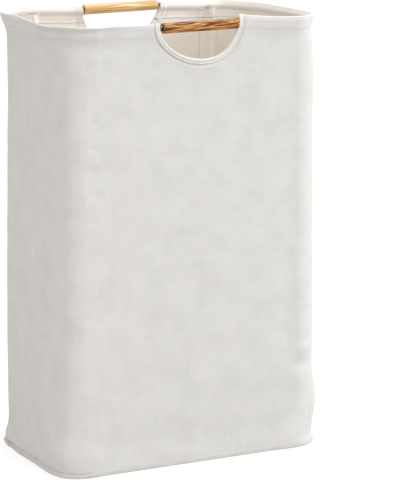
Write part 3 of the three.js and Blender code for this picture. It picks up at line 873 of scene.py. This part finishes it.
def base_binding():
    """A band of rounded square section, with a sewn groove, two laps and a pull here and there. It stands
    proud of the wall on the left side and round the front left corner, and lies flush elsewhere."""
    roll, s, across, up = hoop("base_binding_roll", 28)
    a = np.arctan2(up, across)
    outside = np.cos(a)
    sway, shown = foot_out(s), 1 - rise(past_corners(s, 148, 180), 0, 8)
    outer, inner = 0.2 * MM + BAND_PROUD * shown + sway, -3.0 * MM + np.clip(sway, 0, None) * 0.75
    proud = (outer + inner) / 2 + (outer - inner) / 2 * squared(outside)
    z = BAND_HEIGHT / 2 + BAND_HEIGHT / 2 * squared(np.sin(a))
    sewn = 0.35 * MM * hump(z - BAND_STITCH_Z, 0, 0.35) * (outside > 0.5) * shown
    lean = 5 * MM * hump(s, BACK_LEFT_AT, 28) * (z / BAND_HEIGHT - 0.4)
    lap = 0.6 * MM * hump(s, LAP_AT, 2.5) + 0.5 * MM * (np.abs(s - (GIRTH - 20 * MM)) < 4 * MM)
    pull = np.array([noise.noise(Vector((t * 90, 1.7, 0.3))) for t in s]) * 0.25 * MM
    write_points(roll, beside(s, flare(0.0) + proud - sewn + (pull + lap + lean) * (outside > 0), z))
    write_uv(roll, read_uv(roll) * (GIRTH, 0.015))
    finish_piece(roll, "base", "canvas", bias_canvas, angle=60)
    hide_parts("base_binding")
    s = np.linspace(-180 * MM, 138 * MM, 110)
    row = beside(s, flare(0.0) + BAND_PROUD + foot_out(s), np.full(len(s), BAND_STITCH_Z))
    stitches("base_binding_stitches", row, "base")


def bottom_sheet(name, node, inset, low, high, cloth_finish, slot):
    """A flat cut for the bottom: a plane with rounded corners, its edge pressed thinner and swayed as the
    foot."""
    reach_out = float(flare(low)) - inset
    half_x, half_y, corner = HALF_WIDTH + reach_out, HALF_DEPTH + reach_out, CORNER + reach_out
    piece = primitive(bpy.ops.mesh.primitive_plane_add, name, size=1, location=(0, 0, high))
    piece.scale = (2 * half_x, 2 * half_y, 1)
    settle(piece)
    shape_by_hand(piece, "VERT")
    bpy.ops.mesh.select_all(action="SELECT")
    bpy.ops.mesh.bevel(offset=corner, segments=20, affect="VERTICES")
    bpy.ops.mesh.select_mode(type="FACE")
    bpy.ops.mesh.select_all(action="SELECT")
    for ring in (1.0, 4.0, 1.2, 1.2, 30.0):
        bpy.ops.mesh.inset(thickness=ring * MM)
    done()
    points = read_points(piece)
    flat = points[:, :2]
    edge = np.minimum(half_x - np.abs(points[:, 0]), half_y - np.abs(points[:, 1]))
    away = flat - np.clip(flat, (-SIDE_X, -SIDE_Y), (SIDE_X, SIDE_Y))
    reach = np.linalg.norm(away, axis=1)
    near = np.clip(1 - edge / (30 * MM), 0, 1) * (reach > 1e-6)
    s = np.linspace(0, GIRTH, 1200, endpoint=False)
    s = s[np.argmin(np.linalg.norm(flat[:, None] - around(s)[0][None], axis=2), axis=1)]
    points[:, :2] += away / np.maximum(reach, 1e-6)[:, None] * (foot_out(s) * near)[:, None]
    points[:, 2] -= 0.35 * MM * hump(edge, 6.2, 0.6) + 0.3 * MM * (edge < 0.5 * MM)
    write_points(piece, points)
    apply_modifier(piece, "SOLIDIFY", thickness=(high - low) * 0.6, offset=-1)
    finish_piece(piece, "base", slot, cloth_finish)
    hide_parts(node)


# Wooden grips, turned, bored for the wire and lacquered

def grip(face, side, wood):
    piece = primitive(bpy.ops.mesh.primitive_cylinder_add, f"{face}_grip_turned", vertices=64,
                      radius=GRIP_RADIUS, depth=GRIP_LENGTH, rotation=(0, math.pi / 2, 0),
                      location=(0, side * GRIP_Y, GRIP_Z))
    shape_by_hand(piece)
    pick(piece, "faces", lambda middle, normal: abs(normal.x) > 0.9)
    bpy.ops.mesh.inset(thickness=GRIP_RADIUS - GRIP_BORE)
    bpy.ops.mesh.delete(type="FACE")
    bpy.ops.mesh.select_mode(type="EDGE")

    def pick_rings(low, high):
        """Select the edges of the ends whose two points are this far off the axis."""
        def off_axis(point):
            return math.hypot(point.y - side * GRIP_Y, point.z - GRIP_Z)
        pick(piece, "edges",
             lambda a, b: abs(a.x - b.x) < 1e-6 and all(low < off_axis(p) < high for p in (a, b)))

    pick_rings(0, GRIP_BORE * 1.1)
    bpy.ops.mesh.bridge_edge_loops()
    bpy.ops.mesh.select_all(action="SELECT")
    bpy.ops.mesh.normals_make_consistent(inside=False)
    pick_rings(GRIP_RADIUS * 0.95, 1)
    bpy.ops.mesh.bevel(offset=0.9 * MM, segments=4, affect="EDGES")
    pick_rings(0, GRIP_BORE * 1.05)
    bpy.ops.mesh.bevel(offset=0.4 * MM, segments=2, affect="EDGES")
    done()
    finish_piece(piece, f"grip_{face}", f"{face}_grip_wood", wood)
    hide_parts(f"{face}_grip")


# Support rods and their moulded tips

def bevel_rings(piece, heights, offset, segments):
    """Round the edges that lie level at one of the heights."""
    pick(piece, "edges", lambda a, b: any(abs(a.z - z) < 1e-6 and abs(b.z - z) < 1e-6 for z in heights))
    bpy.ops.mesh.bevel(offset=offset, segments=segments, affect="EDGES")


def rods():
    """One rod and one foot on the Z axis, copied to the corners; a head is a foot turned over."""
    low, high = ROD_LOW + TIP_FLOOR + 0.3 * MM, ROD_HIGH - TIP_FLOOR - 0.3 * MM
    rod = primitive(bpy.ops.mesh.primitive_cylinder_add, vertices=32, radius=ROD_RADIUS, depth=high - low,
                    location=(0, 0, (low + high) / 2))
    shape_by_hand(rod, "EDGE")
    bevel_rings(rod, (low, high), 0.3 * MM, 3)
    done()
    foot = primitive(bpy.ops.mesh.primitive_cylinder_add, vertices=32, radius=TIP_RADIUS, depth=TIP_LENGTH,
                     location=(0, 0, ROD_LOW + TIP_LENGTH / 2))
    shape_by_hand(foot)
    pick(foot, "faces", lambda middle, normal: normal.z > 0.9)
    bpy.ops.mesh.inset(thickness=TIP_RADIUS - ROD_RADIUS - 0.3 * MM)
    bpy.ops.mesh.extrude_region_move(TRANSFORM_OT_translate={"value": (0, 0, TIP_FLOOR - TIP_LENGTH)})
    bpy.ops.mesh.select_mode(type="EDGE")
    bevel_rings(foot, (ROD_LOW,), 1.2 * MM, 5)
    bevel_rings(foot, (ROD_LOW + TIP_LENGTH,), 0.25 * MM, 2)
    done()
    ends = ROD_LOW + ROD_HIGH
    for place, y, x in CORNERS:
        shift = np.array([x * ROD_X, y * (HALF_DEPTH - ROD_INSET), 0])
        for piece, name, finish, slot, move in (
            (rod, "rod", glass_fibre, "glass_fibre", lambda p: p + shift),
            (foot, "rod_foot", tip_plastic, "tip_plastic", lambda p: p + shift),
            (foot, "rod_head", tip_plastic, "tip_plastic", lambda p: p * (1, -1, -1) + (0, 0, ends) + shift),
        ):
            twin = new_object(f"{name}_{place}_made", piece.data.copy())
            twin.data.name = twin.name
            write_points(twin, move(read_points(twin)))
            finish_piece(twin, f"support_rod_{place}", slot, finish)
            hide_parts(f"{name}_{place}")
    for piece in (rod, foot):
        bpy.data.objects.remove(piece)


# Sleeves: a band of lining cloth over each rod, stitched to the lining or the hem along both edges. Its
# section is (millimetres from the rod, share of the hump's height), a soft hump between two flat edges

SECTION = np.array([(-16.5, 0.0), (-15.5, 0.0), (-14.5, 0.0)]
                   + [(x, 0.5 + 0.5 * math.cos(math.pi * x / 14)) for x in np.linspace(-14, 14, 27)]
                   + [(14.5, 0.0), (15.5, 0.0), (16.5, 0.0)])


def sleeve(name, y, x, levels, flange_face, body, finish):
    """levels are heights, and flange_face(z) the inset of the flange's visible face there."""
    piece = primitive(bpy.ops.mesh.primitive_grid_add, name, x_subdivisions=len(SECTION) - 1,
                      y_subdivisions=len(levels) - 1, size=1)

    def rule(u, v):
        i = np.rint(u * (len(SECTION) - 1)).astype(int)
        z = np.interp(v, np.linspace(0, 1, len(levels)), levels)
        s = face_s(y, x * ROD_X) + SECTION[i, 0] * MM
        low = flange_face(z)
        top = ROD_INSET + SLEEVE_ARCH + flare(z) + give(s, z)
        return shell(s, low + (top - low) * SECTION[i, 1], z)

    reshape(piece, rule, (0.039, levels - levels[0]))
    apply_modifier(piece, "SOLIDIFY", thickness=0.7 * MM, offset=1)
    finish_piece(piece, body, "lining_cloth", finish)
    return piece


def hem_face(z):
    """Inset of the visible face of the hem's inner leaf."""
    inset, height = np.array(hem_profile(HEM_FROM)[-15:][::-1]).T
    return np.interp(z, height, inset)


def two_lengths(low, high):
    """Tapes and stitches on the wall are cut at its split: (name's end, body, low, high) of the two
    lengths."""
    return ("_lower", "base", low, SPLIT), ("_upper", "rim", SPLIT, high)


def wall_stitches(name, s, offset, inset):
    """Two rows up the wall, one on each side of s, each in two lengths."""
    for hand, across in (("near", -offset), ("far", offset)):
        for part, body, low, high in two_lengths(10 * MM, 612 * MM):
            z = np.linspace(low, high, max(8, int((high - low) / (7 * MM))))
            stitches(f"{name}_{hand}{part}", shell(s + across, inset, z), body)


def sleeves():
    for place, y, x in CORNERS:
        for part, body, low, high in two_lengths(LINING_FOOT, TAPE_TOP):
            rows = np.linspace(low, high, max(8, int((high - low) / (6.8 * MM))))
            casing = sleeve(f"rod_casing_{place}_tape{part}", y, x, rows,
                            lambda z: np.full(np.shape(z), LINED + 1.0 * MM), body, lining_cloth)
            if body == "base":
                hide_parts(f"rod_casing_{place}")
        loop = sleeve(f"rod_loop_{place}_tape", y, x, np.linspace(*LOOP_SPAN, 12),
                      lambda z: hem_face(z) + 0.9 * MM, "rim", hem_facing)
        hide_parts(f"rod_loop_{place}")
        wall_stitches(f"casing_stitches_{place}", face_s(y, x * ROD_X), SLEEVE_STITCH, LINED + 1.25 * MM)


def seam_tapes():
    for name, s in (("left", 0.0), ("right", RIGHT_SEAM)):
        for part, body, low, high in two_lengths(LINING_FOOT, TAPE_TOP):
            rows = straight_rows(TAPE_INSET, low, high, 8 * MM)
            piece = cloth(f"{name}_seam_tape{part}", s - 7 * MM, s + 7 * MM, rows, 10, TAPE)
            finish_piece(piece, body, "cotton_tape", tape)
            if body == "base":
                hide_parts(f"{name}_seam_tape")
        wall_stitches(f"{name}_seam_stitches", s, 5 * MM, TAPE_INSET + TAPE + 0.2 * MM)


def hem_stitches():
    """Two rows round the hem's outside and one round its inside, broken at the hand openings."""
    rows = (("outer_low", 0.3, 620.0), ("outer_high", 0.45, 631.0), ("inner_low", 3.3, 620.0))
    half = MOON_HALF_WIDTH + 8 * MM
    runs = [(face_s(1, -half) - GIRTH, face_s(-1, -half)), (face_s(-1, half), face_s(1, half))]
    for number, (start, end) in enumerate(runs):
        s = np.linspace(start, end, int((end - start) / (4 * MM)) + 2)
        for name, inset, z in rows:
            stitches(f"hem_stitches_{name}_{number}", shell(s, inset * MM, z * MM), "rim")


# Build the cloth, then what it carries

rim_wire()
wire_ferrule()
for face, side, start, end in (("front", -1, 0.0, RIGHT_SEAM), ("back", 1, RIGHT_SEAM, GIRTH)):
    wall(face, side, start + 0.15 * MM, end - 0.15 * MM)
    lining(face, side, start, end)
    strip, sewn = hand_binding(f"{face}_hand_binding_tape", side)
    finish_piece(strip, "rim", "cotton_tape", tape, angle=60)
    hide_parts(f"{face}_hand_binding")
    stitches(f"{face}_hand_binding_stitches", sewn, "rim", pitch=3.0 * MM, length=2.2 * MM)

base_binding()
bottom_sheet("base_panel_cloth", "base_panel", 2.8 * MM, 0.0, 1.2 * MM, under_cloth, "canvas")
bottom_sheet("floor_lining_cloth", "floor_lining", 1.3 * MM, 5.3 * MM, 6.1 * MM, floor_cloth, "lining_cloth")
grip("front", -1, front_wood)
grip("back", 1, back_wood)
rods()
sleeves()
seam_tapes()
hem_stitches()

dress(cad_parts["base_board"], hardboard)


# Studio: a white floor that keeps the soft shadow, and soft light from the front right

def seen_directly(add):
    """One for what the camera sees straight, in a reflection or through glass."""
    ray = {kind: add("LightPath", f"Is {kind} Ray", {}) for kind in ("Camera", "Glossy", "Transmission")}
    gloss = add("Math", "Value", {0: ray["Camera"], 1: ray["Glossy"]}, operation="MAXIMUM")
    return add("Math", "Value", {0: gloss, 1: ray["Transmission"]}, operation="MAXIMUM")


def studio_floor():
    """A matt white floor that glows a little where the camera sees it."""
    floor = primitive(bpy.ops.mesh.primitive_plane_add, size=40, location=(0, 0, -0.0004))
    floor.name = "studio_floor"
    material, add, surface = new_finish("matt_white_sweep")
    material.node_tree.nodes.remove(surface)
    paint = add("BsdfDiffuse", 0, {"Color": (0.55, 0.55, 0.55, 1)})
    glow = add("Emission", 0, {"Color": (1, 1, 1, 1), "Strength": 0.58})
    both = add("AddShader", 0, {0: paint, 1: glow})
    mix = add("MixShader", 0, {0: seen_directly(add), 1: paint, 2: both})
    feed(material.node_tree.nodes["Material Output"], {"Surface": mix})
    dress(floor, material)


def studio_world():
    """A room that lights with a warm grey and that the camera sees as white."""
    world = bpy.data.worlds.new("white_room")
    bpy.context.scene.world = world
    world.use_nodes = True
    world.node_tree.nodes.clear()
    add = partial(add_node, world.node_tree)
    room = add("Background", 0, {"Color": (1.0, 0.98, 0.948, 1), "Strength": 0.842})
    white = add("Background", 0, {"Color": (1, 1, 1, 1), "Strength": 1.0})
    mix = add("MixShader", 0, {0: seen_directly(add), 1: room, 2: white})
    feed(world.node_tree.nodes.new("ShaderNodeOutputWorld"), {"Surface": mix})


# Soft boxes: name, place, what each one faces, diameter, watts and tint
LAMPS = [
    ("front_soft_box", (0.7, -2.1, 2.3), (0, 0, 0.4), 1.2, 14.6, (0.925, 0.975, 1.0)),
    ("left_fill_box", (-1.2, -1.3, 0.5), (0, 0, 0.35), 0.6, 2.7, (1.0, 0.985, 0.95)),
    ("right_soft_box", (2.9, -0.5, 1.6), (0, 0, 0.3), 1.2, 43, (0.93, 0.975, 1.0)),
    ("top_soft_box", (0.4, 0.1, 3.0), (0, 0, 0.3), 1.0, 19, (1.0, 0.985, 0.96)),
]


def studio_lights():
    for name, place, target, size, power, tint in LAMPS:
        data = bpy.data.lights.new(name, "AREA")
        data.shape, data.size, data.energy, data.color = "DISK", size, power, tint
        lamp = new_object(name, data)
        lamp.location = place
        lamp.rotation_euler = (Vector(target) - Vector(place)).to_track_quat("-Z", "Y").to_euler()


# The camera's place, how far it looks down and turns right, its lens in millimetres and its upward shift
EYE, LOOK_DOWN, TURN_RIGHT, LENS, SHIFT = (-2.0396, -3.7870, 1.1791), 0.1953, 0.5077, 270.7, -0.045


def photo_camera():
    """Long lens from the front left, a little above, with the small rise that the photo's framing needs."""
    data = bpy.data.cameras.new("camera")
    data.sensor_fit, data.sensor_width, data.lens, data.shift_y = "HORIZONTAL", 36.0, LENS, SHIFT
    camera = new_object("camera", data)
    camera.location = EYE
    camera.rotation_euler = (math.pi / 2 - LOOK_DOWN, 0, -TURN_RIGHT)
    bpy.context.scene.camera = camera


studio_floor()
studio_world()
studio_lights()
photo_camera()
bpy.context.scene.view_settings.view_transform = "Standard"
